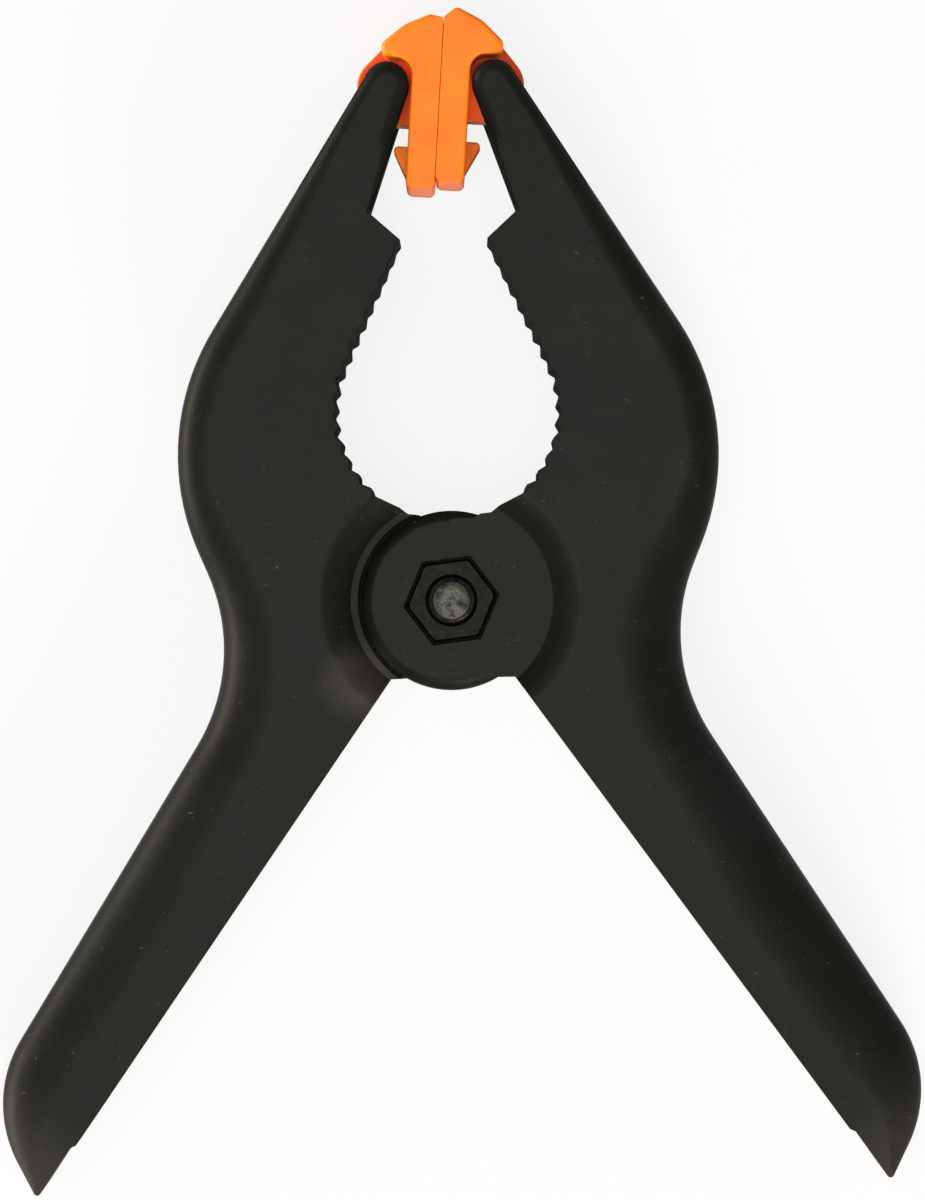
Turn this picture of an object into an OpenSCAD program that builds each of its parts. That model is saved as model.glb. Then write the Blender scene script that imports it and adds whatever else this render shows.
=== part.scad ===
// Plastic spring clamp with two swivel pads, lying flat on its side.
// X is across the clamp, Y runs from the handles to the jaws, and Z is up, along the pivot bolt.
// The origin is on the pivot axis, level with the lowest faces. All sizes are in millimetres.

/* [Levers] */
// Thickness of both levers, from one side face to the other
depth = 30; // [26:0.5:36]
// Distance from the pivot to the bars that carry the pads, along Y
jaw_len = 66.4; // [60:0.1:75]
// Distance of each pad bar from the middle of the clamp
bar_x = 6.9; // [6.5:0.1:8]
// Radius of the round end of each jaw ear
ear_r = 2.8; // [2.4:0.1:3]
// Distance from the middle of the clamp to the widest point of a jaw
jaw_half_w = 34.7; // [32:0.1:38]
// Radius of the bulging back of a jaw
bulge_r = 31; // [27:0.5:34]
// Height of the widest point of a jaw above the pivot
bulge_y = 18.7; // [15:0.1:22]
// Radius of the hollow waist behind the pivot
waist_r = 24; // [18:0.5:30]
// Distance from the pivot to the centre of the handle's pointed end
handle_len = 91.9; // [80:0.1:105]
// Lean of the handle's straight back away from Y, in degrees
handle_lean = 32.2; // [28:0.1:38]
// Distance of the handle's straight back from the pivot
handle_back = 18.4; // [16:0.1:22]
// Radius of the rounded heel near the handle's end
heel_r = 15.5; // [12:0.5:16]
// Distance of the heel's centre from the centre of the pointed end, along the handle
heel_back = 15; // [15:0.1:20]
// Radius of the handle's pointed end
tip_r = 0.8; // [0.6:0.1:1.2]
// Rounding of the jaw's outer edges
jaw_edge = 3.4; // [1.5:0.1:4]
// Rounding of the handle's outer edges
handle_edge = 7.2; // [4:0.1:8]
// Rounding at which the rounded edges run out, at the notch and at the handle's end
inner_edge = 0.3; // [0.2:0.05:0.4]
// Wall of the hollow handle at its sides
side_wall = 3; // [2.4:0.1:4]
// Wall of the hollow handle at its back
back_wall = 3.6; // [3:0.1:5]

/* [Throat] */
// Radius of the round bottom of the throat
throat_r = 14.1; // [12.5:0.1:15]
// Height of the throat's centre above the pivot
throat_y = 24.6; // [24:0.1:27]
// Distance between the teeth along the throat
tooth_pitch = 2.3; // [1.8:0.1:3]
// Depth of the teeth
tooth_depth = 0.6; // [0.4:0.1:1]

/* [Hub] */
// Radius of the round hub discs
disc_r = 11.5; // [10.5:0.1:12]
// Thickness of the outer hub disc
disc_t = 5.2; // [4.8:0.1:6]
// How far the outer disc lies below the side face
disc_sink = 1.5; // [1:0.1:2]
// Chamfer round the outer disc
disc_chamfer = 1.2; // [0.6:0.1:1.6]
// Thickness of the inner ear
ear_t = 2.6; // [2:0.1:3]
// Running gap between the outer disc of one lever and the inner ear of the other
ear_gap = 0.3; // [0.2:0.05:0.5]
// Radius at which the round recess meets the side face
recess_r = 15.8; // [15:0.1:17]
// Radius of the recess floor that shows round the disc
shelf_r = 12.9; // [12.5:0.1:14]
// Radial gap between a disc and the recess that it turns in
disc_gap = 0.4; // [0.3:0.05:0.6]

/* [Bolt and nut] */
// Diameter of the bolt's shank
bolt_d = 6; // [5:0.1:6.4]
// Radial running clearance on the bolt
bolt_fit = 0.05; // [0.02:0.01:0.08]
// Width across the flats of the nut and of the bolt's head
hex_af = 10; // [9:0.1:10.2]
// Gap between a flat of the nut and its pocket
hex_gap = 0.25; // [0.15:0.05:0.4]
// Depth of the hexagonal pockets
pocket_depth = 3.7; // [3.4:0.1:4]
// Thickness of the nut
nut_t = 3.2; // [2.6:0.1:3.4]
// Thickness of the bolt's head
head_t = 4; // [3.5:0.1:4.4]
// How far the bolt's end stands out of the nut
bolt_proud = 0.9; // [0.4:0.1:1.4]
// Turn of the hexagons, in degrees
hex_turn = 6.4; // [0:0.1:30]

/* [Torsion spring] */
// Diameter of the spring's wire
wire_d = 2; // [1.5:0.1:2]
// Radius of the coil at the middle of the wire
coil_r = 7; // [5.5:0.1:8]
// Rise of the coil in one turn
coil_pitch = 2.5; // [2.45:0.05:2.7]
// Least gap between the coil and the ear at each of its ends
coil_end_gap = 0.3; // [0.2:0.05:0.5]
// Length of each straight leg
leg_len = 38; // [30:1:40]
// Splay of the legs away from the handles' direction, in degrees
leg_splay = 10; // [6:0.5:10]

/* [Pads] */
// Width of the pads, along the pivot axis
pad_w = 28; // [22:0.5:30]
// Thickness of the face plate
plate_t = 3.7; // [3:0.1:4]
// Height of the pad above its bar
pad_top = 9.1; // [8:0.1:10]
// Depth of the pad below its bar
pad_bottom = 13.2; // [11:0.1:13.6]
// Gap between the two faces when the jaws are closed
face_gap = 0.06; // [0.02:0.01:0.2]
// Lean of both faces when the jaws are closed, in degrees
pad_tilt = 4.4; // [0:0.1:5]
// Thickness of the hood over the ear
hood_t = 2.4; // [1.6:0.1:3]
// Thickness of the web that hangs on the bar
web_t = 8; // [6:0.5:10]
// Radius of the web's eye round the bar
eye_r = 3.9; // [3.3:0.1:4.2]
// Gap at each side of the web in its slot
web_gap = 0.3; // [0.2:0.05:0.5]
// Radius of the bar
bar_r = 1.5; // [1.2:0.05:1.8]
// Radial running clearance of the web on its bar
bar_fit = 0.05; // [0.02:0.01:0.08]

/* [Hidden] */
black = "#26241f";
orange = "#f58226";
steel = "#c9c8c2";
dark_steel = "#5c5a54";

$fn = 96;
// How far a cut runs past the face that it opens
over = 1;
// Largest turn between two points of a rounded outline, in degrees
arc_step = 9;
// Number of steps in a rounded edge
edge_steps = 4;

// A turn brought into the range from minus 180 to 180 degrees
function wrap(a) = a - 360 * floor((a + 180) / 360);

// Direction of the straight line that touches two corner circles, going clockwise round an outline
function tangent_dir(a, b) =
    let (d = [b.x - a.x, b.y - a.y])
    atan2(d.y, d.x) - asin((a[2] - b[2]) / norm(d));

// The point at which a line of direction phi touches a corner circle, with the circle's edge rounding
function contact(c, phi) = [c.x - c[2] * sin(phi), c.y + c[2] * cos(phi), c[3]];

// A closed outline that runs clockwise round corner circles. A row holds x, y, the radius, which is
// negative where the outline bends the other way, and the rounding of the side edge there.
function belt(rows) =
    let (n = len(rows))
    [for (i = [0 : n - 1])
        let (
            start = tangent_dir(rows[(i + n - 1) % n], rows[i]),
            turn = wrap(tangent_dir(rows[i], rows[(i + 1) % n]) - start),
            steps = rows[i][2] == 0 ? 0 : max(1, ceil(abs(turn) / arc_step))
        )
        for (k = [0 : steps])
            contact(rows[i], start + turn * (steps == 0 ? 0 : k / steps))];

// The same outline as flat points
function flat(points) = [for (p = points) [p.x, p.y]];

// Unit direction that points out of a clockwise outline at a point, from the points on either side of it
function outward(before, here, after) =
    let (
        u = [here.x - before.x, here.y - before.y],
        v = [after.x - here.x, after.y - here.y],
        w = u / norm(u) + v / norm(v)
    )
    [-w.y, w.x] / norm(w);

// A plate between two levels, with both of its side edges rounded by each point's own radius
module rounded_plate(points, low, high) {
    n = len(points);
    levels = 2 * (edge_steps + 1);
    rings = [for (k = [0 : levels - 1])
        let (
            top = k > edge_steps,
            t = 90 * (top ? k - edge_steps - 1 : edge_steps - k) / edge_steps
        )
        for (i = [0 : n - 1])
            let (
                e = points[i].z,
                out = outward(points[(i + n - 1) % n], points[i], points[(i + 1) % n]),
                p = [points[i].x, points[i].y] - out * e * (1 - cos(t)),
                rise = e * (1 - sin(t))
            )
            [p.x, p.y, top ? high - rise : low + rise]];
    sides = [for (k = [0 : levels - 2])
        for (i = [0 : n - 1])
            let (
                a = k * n + i,
                b = k * n + (i + 1) % n
            )
            each [[a, b, b + n], [a, b + n, a + n]]];
    bottom = [for (i = [n - 1 : -1 : 0]) i];
    cap = [for (i = [0 : n - 1]) (levels - 1) * n + i];
    polyhedron(points = rings, faces = concat(sides, [bottom, cap]), convexity = 10);
}

// How far along the first side the rounding starts, as a share of that side
run_in_share = 0.06;

// Side of a cutter that rounds an edge by radius e, as distances out of the outline and up from the face.
// Both ends of its arc run on past the faces that they meet.
function edge_section(e) =
    let (arc = [for (k = [0 : edge_steps])
        let (t = 90 * k / edge_steps)
        e * [cos(t) - 1, sin(t) - 1]])
    [for (k = [-1 : edge_steps])
        k < 0 ? [over, over]
        : k == 0 ? 2 * arc[0] - arc[1]
        : k == edge_steps ? 2 * arc[k] - arc[k - 1]
        : arc[k]];

// The cutter itself, along the first points of an outline that have a rounding. It starts a little way
// along the first side, clear of the corner.
module edge_cutter(points) {
    n = edge_steps + 2;
    run = len([for (p = points) if (p.z > 0) p]);
    path = [for (i = [0 : run - 1]) i > 0 ? points[i] : points[0] + (points[1] - points[0]) * run_in_share];
    rings = [for (i = [0 : run - 1])
        let (
            before = i > 0 ? path[i - 1] : 2 * path[0] - path[1],
            after = i < run - 1 ? path[i + 1] : 2 * path[i] - path[i - 1],
            out = outward(before, path[i], after)
        )
        for (q = edge_section(path[i].z))
            let (p = [path[i].x, path[i].y] + out * q.x)
            [p.x, p.y, q.y]];
    skin = [for (i = [0 : run - 2])
        for (k = [0 : n - 1])
            let (
                a = i * n + k,
                b = i * n + (k + 1) % n
            )
            each [[a, b, b + n], [a, b + n, a + n]]];
    ends = [
        concat([0], [for (k = [n - 1 : -1 : 1]) k]),
        [for (k = [0 : n - 1]) (run - 1) * n + k]];
    polyhedron(points = rings, faces = concat(skin, ends), convexity = 10);
}

cove_steps = 6;
// A quarter of a hollow curve in a turned profile, from radius a at level za out to radius b at level zb
function cove(a, za, b, zb) =
    [for (k = [0 : cove_steps]) let (t = 90 * k / cove_steps) [a + (b - a) * sin(t), zb + (za - zb) * cos(t)]];

// A hexagon across its flats
module hexagon(af) {
    circle(d = af / cos(30), $fn = 6);
}

// Layout of the levers

// Levels of the hub's layers in the right lever, counted up from its back face
disc_top = depth - disc_sink;
disc_under = disc_top - disc_t;
ear_under = disc_sink + disc_t + ear_gap;
ear_top = ear_under + ear_t;
// The round hollow between the ears, in which the spring sits
chamber_r = disc_r + 2 * disc_gap;

// Direction of the right handle, and a place given by its distance along it and square out of it
handle_dir = handle_lean - 90;
function on_handle(along, out) = [
    along * cos(handle_dir) - out * sin(handle_dir),
    along * sin(handle_dir) + out * cos(handle_dir)];
// A corner circle that is placed along the handle
function handle_row(along, out, r, edge) = concat(on_handle(along, out), [r, edge]);

// Where the bulge's centre lies from the pivot, in the handle's own directions
bulge_x = jaw_half_w - bulge_r;
bulge_along = bulge_x * cos(handle_dir) + bulge_y * sin(handle_dir);
bulge_out = bulge_y * cos(handle_dir) - bulge_x * sin(handle_dir);
// Straight stretch between the bulge and the waist, and the place of the waist that it gives
waist_flat = 3;
waist_out = handle_back + waist_r;
waist_along = bulge_along + sqrt(pow(bulge_r + waist_r, 2) + pow(waist_flat, 2) - pow(waist_out - bulge_out, 2));
waist_edge = (jaw_edge + handle_edge) / 2;
ear_edge = jaw_edge / 2;

// Places on the handle. The first share is of the heel's distance, back from the end, and for the hub's
// corner of the disc's radius, from the pivot. The second is of the straight back's distance, square to it.
tip_out_share = 0.353;
nick_low_share = [0.447, 0.313];
nick_high_share = [0.493, 0.288];
hub_corner_share = [1.1, 0.078];

// Where the lever's own half of the hub ends on the middle line, as shares of the disc's radius
hub_low_share = 0.86;
hub_high_share = 0.9;

// The notch over the teeth, as shares of the pad bar's distance and of the jaw's length
notch_share = [1.406, 0.753];
tooth_end_share = 0.696;

// The throat's side: an arc, and then a straight flank that leans away from Y by this angle
flank_lean = 24.5;
// How far the arc of teeth goes on below the throat's centre, in degrees
teeth_low = 58;
// A place on the throat's side, s above the join of arc and flank, and sunk into the jaw
function throat_at(s, sunk) =
    let (
        up = max(0, s),
        a = flank_lean + min(0, s) / throat_r * 180 / PI,
        r = throat_r + sunk
    )
    [r * cos(a) - up * sin(flank_lean), throat_y + r * sin(a) + up * cos(flank_lean)];

flank_len = (tooth_end_share * jaw_len - throat_y - throat_r * sin(flank_lean)) / cos(flank_lean);
arc_len = throat_r * (flank_lean + teeth_low) * PI / 180;
tooth_count = floor((flank_len + arc_len) / tooth_pitch);
// A tooth rises over this share of the pitch and falls over the rest
tooth_rise_share = 0.3;
teeth = [for (i = [tooth_count - 1 : -1 : 0])
    for (root = [1, 0])
        let (p = throat_at(flank_len - (i + root * tooth_rise_share) * tooth_pitch, root * tooth_depth))
        [p.x, p.y, 0, 0]];

// The right lever's outline, from the notch round the ear, down its back, round the handle and up the
// throat. Its edges are rounded from the notch to the first nick behind the handle's end.
lever_rows = concat(
    [[notch_share[0] * bar_x, notch_share[1] * jaw_len, 0, inner_edge],
     [bar_x, jaw_len, ear_r, ear_edge],
     [bulge_x, bulge_y, bulge_r, jaw_edge],
     handle_row(waist_along, waist_out, -waist_r, waist_edge),
     handle_row(handle_len - heel_back, handle_back - heel_r, heel_r, handle_edge),
     handle_row(handle_len, tip_out_share * handle_back, tip_r, tip_r / 2),
     handle_row(handle_len - nick_low_share[0] * heel_back, nick_low_share[1] * handle_back, 0, inner_edge),
     handle_row(handle_len - nick_high_share[0] * heel_back, nick_high_share[1] * handle_back, 0, 0),
     handle_row(hub_corner_share[0] * disc_r, hub_corner_share[1] * handle_back, 0, 0),
     [0, -hub_low_share * disc_r, 0, 0],
     [0, hub_high_share * disc_r, 0, 0],
     [0, throat_y, -throat_r, 0]],
    teeth);

// The hollow of the handle, placed along it and square to it, and open on the inner side
hollow_back = handle_back - back_wall;
hollow_edge = handle_edge - side_wall;
hollow_start = recess_r + side_wall;
hollow_end = handle_len - heel_back;
// How much of that rounding the hollow keeps where it ends, at the heel
hollow_heel_share = 0.75;
hollow_rows = [
    [hollow_start + hollow_edge, hollow_back - hollow_edge, hollow_edge, hollow_edge / 2],
    [hollow_end, hollow_back - hollow_edge, hollow_edge, hollow_edge * hollow_heel_share],
    [hollow_end + hollow_edge, -hollow_edge, 0, inner_edge],
    [hollow_start, -hollow_edge, 0, inner_edge]];

// The spring's leg passes from the round hollow into the handle through this slot, square to the handle
leg_slot_back = hollow_back - hollow_edge / 2;

// The pad's web hangs in a slot through the ear, and its tail swings into a pocket below the slot
slot_t = web_t + 2 * web_gap;
slot_low = eye_r + 3 * web_gap;
tail_depth = 4.4;

// The hub of a lever before its hollows are cut, with its outer disc chamfered
module hub_core() {
    rotate_extrude()
        polygon([
            [0, ear_under - ear_gap],
            [disc_r, ear_under - ear_gap],
            [disc_r, disc_top - disc_chamfer],
            [disc_r - disc_chamfer, disc_top],
            [0, disc_top]]);
}

// Space over the lever's own disc, rising to the side face in a hollow curve
module front_recess() {
    rotate_extrude()
        polygon(concat(
            [[0, disc_top]],
            cove(shelf_r, disc_top, recess_r, depth),
            [[recess_r, depth + over], [0, depth + over]]));
}

// Space for the other lever's disc, with a shelf round it that rises to the side face
module back_recess() {
    shelf_z = disc_sink + disc_chamfer;
    rotate_extrude()
        polygon(concat(
            [[0, -over], [0, ear_under], [disc_r + disc_gap, ear_under], [disc_r + disc_gap, shelf_z]],
            cove(shelf_r, shelf_z, recess_r, 0),
            [[recess_r, -over]]));
}

// The handle's hollow and the way into it for the spring's leg
module handle_hollow() {
    rotate([0, 0, handle_dir]) {
        rounded_plate(belt(hollow_rows), side_wall, depth - side_wall);
        translate([0, -leg_slot_back, ear_top + ear_gap])
            cube([hollow_start + 2 * hollow_edge, 2 * leg_slot_back, depth - 2 * ear_top - ear_gap]);
    }
}

// The slot in the ear and the pocket below it, at the height of the pad's bar
module web_slot() {
    translate([bar_x, jaw_len, (depth - slot_t) / 2])
        rotate([0, 0, ear_lean]) {
            translate([-jaw_half_w, -slot_low, 0])
                cube([2 * jaw_half_w, jaw_half_w, slot_t]);
            translate([-jaw_half_w, -pad_bottom - plate_t / 2, 0])
                cube([jaw_half_w - ear_r + tail_depth, pad_bottom, slot_t]);
        }
}
// Lean of the ear's middle away from Y
ear_lean = 26;

// One lever: both are the same moulding. The right one lies as modelled, with its outer disc on top.
module lever() {
    difference() {
        union() {
            linear_extrude(depth)
                polygon(flat(belt(lever_rows)));
            hub_core();
        }
        translate([0, 0, depth])
            edge_cutter(belt(lever_rows));
        mirror([0, 0, 1])
            edge_cutter(belt(lever_rows));
        front_recess();
        back_recess();
        translate([0, 0, ear_top])
            cylinder(r = chamber_r, h = disc_under - ear_top);
        handle_hollow();
        web_slot();
        translate([0, 0, -over])
            cylinder(d = bolt_d + 2 * bolt_fit, h = depth + 2 * over);
        translate([0, 0, disc_top - pocket_depth])
            rotate([0, 0, hex_turn])
                linear_extrude(pocket_depth + over)
                    hexagon(hex_af + 2 * hex_gap);
    }
    translate([bar_x, jaw_len, (depth - slot_t) / 2 - over])
        cylinder(r = bar_r, h = slot_t + 2 * over);
}

// Turns a lever's moulding over, about the clamp's long axis
module turned_over() {
    translate([0, 0, depth])
        rotate([0, 180, 0])
            children();
}

module lever_right() {
    color(black) lever();
}

module lever_left() {
    color(black) turned_over() lever();
}

// Pads. The pad's own origin is on its bar, with the face at minus X.
face_x = bar_x * cos(pad_tilt) - face_gap / 2;
plate_back = plate_t - face_x;
// Corners of the pad's side, as shares of its own height, depth and thickness
pad_peak_share = 0.42;
hood_end_share = -0.04;
hood_end_r_share = 0.5;
corner_r = 0.8;
hood_corner_r = 2;
hood_under = ear_r + 2 * web_gap;

pad_rows = [
    [corner_r - face_x, -pad_bottom + corner_r, corner_r, 0],
    [corner_r - face_x, pad_top - 2 * corner_r, corner_r, 0],
    [plate_t * pad_peak_share - face_x, pad_top - corner_r, corner_r, 0],
    [hood_end_share * face_x, hood_under + hood_t * hood_end_r_share, hood_t * hood_end_r_share, 0],
    [plate_back + hood_corner_r, hood_under - hood_corner_r, -hood_corner_r, 0],
    [plate_back - corner_r, -pad_bottom + corner_r, corner_r, 0]];

// The web that joins plate and hood and clips round the bar, and the tail below it
web_low_share = 0.37;
web_low_r = 1;
web_rows = [
    [-face_x + plate_t / 2, hood_under, web_low_r, 0],
    [0, hood_under + web_low_r, web_low_r, 0],
    [0, 0, eye_r, 0],
    [-web_low_r, web_low_r - web_low_share * pad_bottom, web_low_r, 0],
    [-face_x + plate_t / 2, web_low_r - web_low_share * pad_bottom, web_low_r, 0]];
tail_top_share = 0.57;
tail_out = 1.8;
tail_r = 0.6;
tail_rows = [
    [-face_x + plate_t / 2, -tail_top_share * pad_bottom, 0, 0],
    [plate_back + tail_out - tail_r, -tail_top_share * pad_bottom - tail_r, tail_r, 0],
    [plate_back - corner_r, -pad_bottom + 2 * corner_r, corner_r, 0],
    [-face_x + plate_t / 2, -pad_bottom + 2 * corner_r, 0, 0]];
// The mouth through which the bar snaps into the eye, as a share of the bar's width
mouth_share = 0.8;
mouth_turn = -60;

module pad_side(rows, width) {
    translate([0, 0, (depth - width) / 2])
        linear_extrude(width)
            polygon(flat(belt(rows)));
}

module pad() {
    difference() {
        union() {
            pad_side(pad_rows, pad_w);
            pad_side(web_rows, web_t);
            pad_side(tail_rows, web_t);
        }
        cylinder(r = bar_r + bar_fit, h = depth);
        rotate([0, 0, mouth_turn])
            translate([0, -bar_r * mouth_share, 0])
                cube([eye_r + over, 2 * bar_r * mouth_share, depth]);
    }
}

module pad_right() {
    color(orange)
        translate([bar_x, jaw_len, 0])
            rotate([0, 0, -pad_tilt])
                pad();
}

module pad_left() {
    color(orange)
        translate([-bar_x, jaw_len, 0])
            rotate([0, 0, -pad_tilt])
                turned_over()
                    pad();
}

// Bolt and nut. The bolt's head sits in the left lever's pocket, at the back.
head_under = disc_sink + pocket_depth;
nut_under = disc_top - pocket_depth;
bolt_top = nut_under + nut_t + bolt_proud;
end_chamfer = 0.5;
// How far a hexagon's corners are turned off at its outer face
hex_chamfer = 0.5;

// A hexagonal prism whose corners are turned off at the upper face
module hex_prism(height) {
    intersection() {
        rotate([0, 0, hex_turn])
            linear_extrude(height)
                hexagon(hex_af);
        rotate_extrude()
            polygon([
                [0, 0],
                [hex_af / 2 / cos(30) + hex_chamfer, 0],
                [hex_af / 2 / cos(30) + hex_chamfer, height - 2 * hex_chamfer],
                [hex_af / 2 - hex_chamfer, height],
                [0, height]]);
    }
}

module pivot_bolt() {
    color(steel) {
        translate([0, 0, head_under])
            rotate([180, 0, 0])
                hex_prism(head_t);
        rotate_extrude()
            polygon([
                [0, head_under - head_t / 2],
                [bolt_d / 2, head_under - head_t / 2],
                [bolt_d / 2, bolt_top - end_chamfer],
                [bolt_d / 2 - end_chamfer, bolt_top],
                [0, bolt_top]]);
    }
}

module pivot_nut() {
    color(dark_steel)
        translate([0, 0, nut_under])
            difference() {
                hex_prism(nut_t);
                translate([0, 0, -over])
                    cylinder(d = bolt_d + 2 * bolt_fit, h = nut_t + 2 * over);
            }
}

// Torsion spring: one wire, from the left leg's end round the coil to the right leg's end
coil_steps = 8;
wire_sides = 6;
leg_dir = handle_dir + leg_splay;
// The part turn between the legs, and as many full turns as fit between the ears
part_sweep = 180 - 2 * (leg_dir + 90);
coil_room = depth - 2 * ear_top - 2 * coil_end_gap - wire_d;
coil_turns = floor(coil_room / coil_pitch - part_sweep / 360);
coil_sweep = 360 * coil_turns + part_sweep;
coil_rise = coil_sweep / 360 * coil_pitch;
ring_count = round(coil_sweep / 360 * coil_steps);
coil_path = [for (k = [0 : ring_count])
    let (a = 90 - leg_dir - coil_sweep * k / ring_count)
    [coil_r * cos(a), coil_r * sin(a), depth / 2 + coil_rise * (k / ring_count - 0.5)]];
leg_run = leg_len * [cos(leg_dir), sin(leg_dir), 0];
spring_path = concat(
    [coil_path[0] + [-leg_run.x, leg_run.y, 0]],
    coil_path,
    [coil_path[ring_count] + leg_run]);

// The ring of points round a path at point i, square to the way it runs there
function wire_ring(path, i) =
    let (
        ahead = path[min(i + 1, len(path) - 1)] - path[max(i - 1, 0)],
        flat_side = cross(ahead, [0, 0, 1]),
        side = flat_side / norm(flat_side),
        rise = cross(side, ahead / norm(ahead))
    )
    [for (k = [0 : wire_sides - 1])
        let (a = 360 * k / wire_sides)
        path[i] + wire_d / 2 * (cos(a) * side + sin(a) * rise)];

module wire(path) {
    n = len(path);
    points = [for (i = [0 : n - 1]) each wire_ring(path, i)];
    skin = [for (i = [0 : n - 2])
        for (k = [0 : wire_sides - 1])
            let (
                a = i * wire_sides + k,
                b = i * wire_sides + (k + 1) % wire_sides
            )
            each [[a, b, b + wire_sides], [a, b + wire_sides, a + wire_sides]]];
    caps = [
        [for (k = [wire_sides - 1 : -1 : 0]) k],
        [for (k = [0 : wire_sides - 1]) (n - 1) * wire_sides + k]];
    polyhedron(points = points, faces = concat(skin, caps), convexity = 10);
}

// Least gap between the wire's own turns, measured between points at least half a turn apart
turn_gaps = [for (i = [0 : ring_count])
    for (j = [i + coil_steps / 2 : 1 : ring_count])
        norm(coil_path[j] - coil_path[i]) - wire_d];
echo(least_gap_in_the_spring = min(turn_gaps));

module torsion_spring() {
    color(steel) wire(spring_path);
}

lever_right();
lever_left();
pad_right();
pad_left();
pivot_bolt();
pivot_nut();
torsion_spring();
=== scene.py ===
# Tarp clip: a black plastic spring clamp with two orange swivel pads, lying on its side on a pale floor.
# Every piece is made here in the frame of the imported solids, with its sizes written in millimetres.
import bmesh
import bpy
import math
from mathutils import Matrix, Vector


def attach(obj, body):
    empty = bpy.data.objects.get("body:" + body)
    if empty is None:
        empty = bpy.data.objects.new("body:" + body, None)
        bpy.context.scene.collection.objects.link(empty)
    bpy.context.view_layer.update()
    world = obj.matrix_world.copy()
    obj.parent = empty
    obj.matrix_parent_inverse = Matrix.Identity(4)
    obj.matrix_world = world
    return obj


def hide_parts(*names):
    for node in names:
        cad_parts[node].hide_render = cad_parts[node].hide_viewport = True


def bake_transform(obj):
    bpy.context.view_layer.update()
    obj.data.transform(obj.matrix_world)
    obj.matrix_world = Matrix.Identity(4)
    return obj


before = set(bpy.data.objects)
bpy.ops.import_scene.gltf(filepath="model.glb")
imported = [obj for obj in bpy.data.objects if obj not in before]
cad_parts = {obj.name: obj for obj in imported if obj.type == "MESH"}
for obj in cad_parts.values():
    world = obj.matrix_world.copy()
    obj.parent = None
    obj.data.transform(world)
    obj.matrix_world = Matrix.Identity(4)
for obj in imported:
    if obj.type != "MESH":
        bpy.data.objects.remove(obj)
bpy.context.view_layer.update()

# The two levers are one moulding of black nylon, used twice, the left one turned over. Each has a jaw with
# a toothed throat, a hub disc, and a hollow handle. They pivot on the bolt, and so each rides its own body.
MM = 0.001
DEPTH = 30.0
# Small round on every edge that the mould leaves nearly sharp, and how far a cut runs past what it cuts
CRISP, OVER = 0.22, 1.0
# The ear, with the bar that carries the pad, the slot for the pad's web and the deeper room for its tail
BAR, BAR_R = Vector((6.9, 66.4)), 1.5
EAR_FOOT, EAR_END_R, EAR_END_EDGE, EAR_LEAN = (9.7, 50.0), 2.8, 1.7, 26.0
SLOT_W, SLOT_FLOOR, SLOT_END, SLOT_REACH = 8.6, -4.8, 30.0, 34.4
TAIL_ROOM_SIDE, TAIL_ROOM_FLOOR, TAIL_ROOM_TOP = 1.6, -15.15, -1.95
# The jaw's bulge and the waist between it and the handle
BULGE_X, BULGE_Y, BULGE_R, JAW_EDGE = 3.7, 18.7, 31.0, 3.4
WAIST_R, WAIST_FLAT = 24.0, 3.0
# The handle. Places on it are shares: along it of the heel's distance from the end, or for the hub's corner
# of the disc's radius, and outward of the distance of its straight back.
HANDLE_LEN, HANDLE_LEAN, HANDLE_BACK, HANDLE_EDGE = 91.9, 32.2, 18.4, 7.2
HEEL_R, HEEL_BACK, TIP_R, TIP_OUT = 15.5, 15.0, 0.8, 0.25
TIP_BACK_SHARE, TIP_R_SHARE, HUB_CORNER_SHARES = 0.353, 0.6, (1.1, 0.078)
NICK_LOW_SHARES, NICK_HIGH_SHARES = (0.447, 0.313), (0.493, 0.288)
BACK_WALL, SIDE_WALL, HOLLOW_MOUTH_EDGE, LEG_SLOT_START = 3.6, 3.0, 0.3, 0.3
# The throat, with its teeth. A tooth's steps are shares of the pitch along the wall and of the depth into
# it. Its depth is a share too, which swings from tooth to tooth and grows from the topmost one down.
THROAT_R, THROAT_Y, TOOTH_PITCH, TOOTH_DEPTH = 14.1, 24.6, 2.3, 0.6
FLANK_LEAN, TEETH_LOW, TOOTH_END_Y = 24.5, 58.0, 46.2
TOOTH_STEP_SHARES = ((0.50, 0.88), (0.36, 1.0), (0.07, 0.12), (-0.05, 0.0))
LEAST_DEPTH_SHARE, UNEVEN_SHARE, UNEVEN_START, UNEVEN_STEP = 0.75, 0.3, 0.7, 2.4
TOP_TOOTH_SHARE, SHARE_MORE_EACH = 0.35, 0.10
FLOOR_START, FLOOR_STEP, FLOOR_POINTS, FLOOR_WAVE, POINTS_TO_A_WAVE = -84.0, 2.6, 9, 0.32, 4
# The hub: its outer disc, whose edge is given in from its side and down from its face, its inner ear, the
# shelf and the sloped wall round it, and the pocket for the bolt's head or the nut
DISC_R, DISC_T, DISC_SINK, DISC_CHAMFER = 11.5, 5.2, 1.5, 1.2
DISC_EDGE = ((0.0, DISC_CHAMFER), (0.25, DISC_CHAMFER * 0.6),
             (DISC_CHAMFER * 0.85, 0.12), (DISC_CHAMFER * 1.15, 0.0))
DISC_LOW_SHARE, DISC_HIGH_SHARE = 0.86, 0.9
EAR_T, EAR_GAP, EAR_SPARE, DISC_GAP = 2.6, 0.3, 0.1, 0.4
RECESS_R, SHELF_R, SHELF_BEVEL = 15.8, 12.9, 0.15
WALL_OUT, WALL_LIP_OUT, WALL_LIP_UP = 4.1, 0.2, 0.02
HEX_AF, HEX_GAP, HEX_TURN = 10.0, 0.25, 6.4
POCKET_DEPTH, POCKET_BEVEL, POCKET_LIP, POCKET_FLARE = 3.7, 0.25, 0.02, 1.03
BORE_R = 3.05
DISC_TOP = DEPTH - DISC_SINK
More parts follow.
